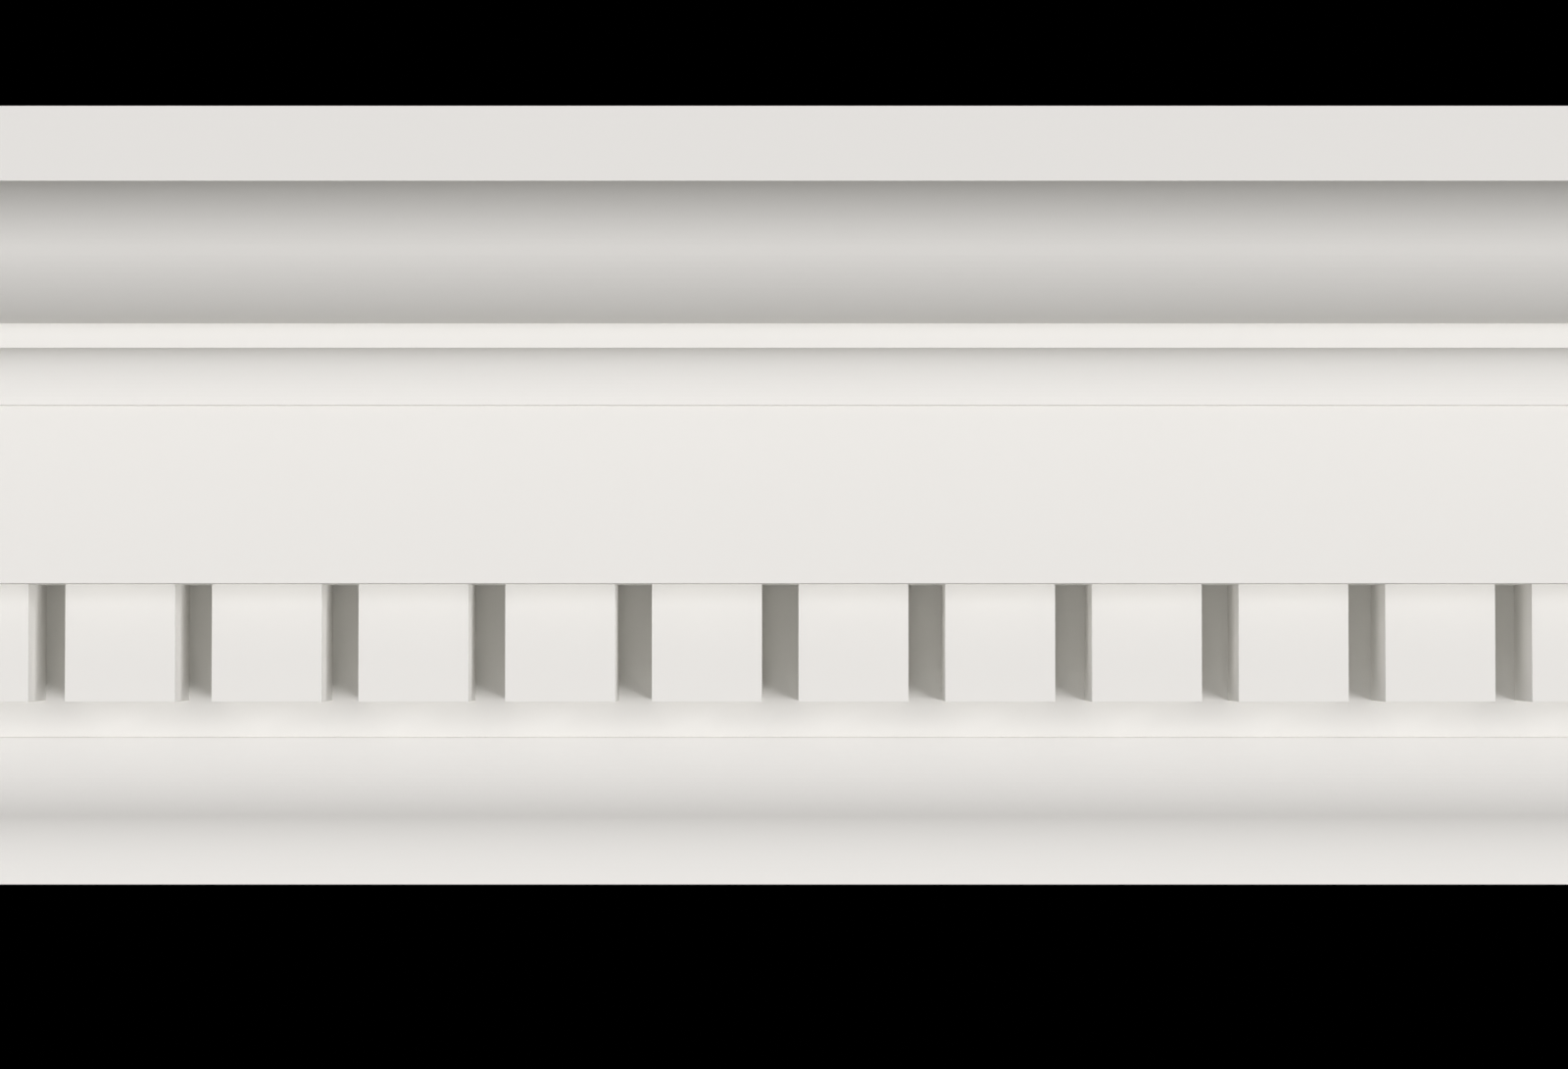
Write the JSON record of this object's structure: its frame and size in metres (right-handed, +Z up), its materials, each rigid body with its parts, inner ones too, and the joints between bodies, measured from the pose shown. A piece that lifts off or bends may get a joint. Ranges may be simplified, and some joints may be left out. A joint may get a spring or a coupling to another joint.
{
  "type": "dentil moulding",
  "caption": "Straight cornice moulding with a cyma recta crown, cove, plain corona, a course of square dentils and an ogee foot, bedded in the angle of wall and ceiling.",
  "frame": {"origin": "middle of the flat that beds on the wall", "axes": "+X along the moulding, +Y into the wall with the moulded face towards -Y, +Z up"},
  "size_m": [1, 0.15, 0.2016],
  "materials": {
    "painted_plaster": "matt off-white paint on cast gypsum plaster"
  },
  "bodies": {
    "root": {"dentil_cornice": "painted_plaster"}
  },
  "joints": []
}
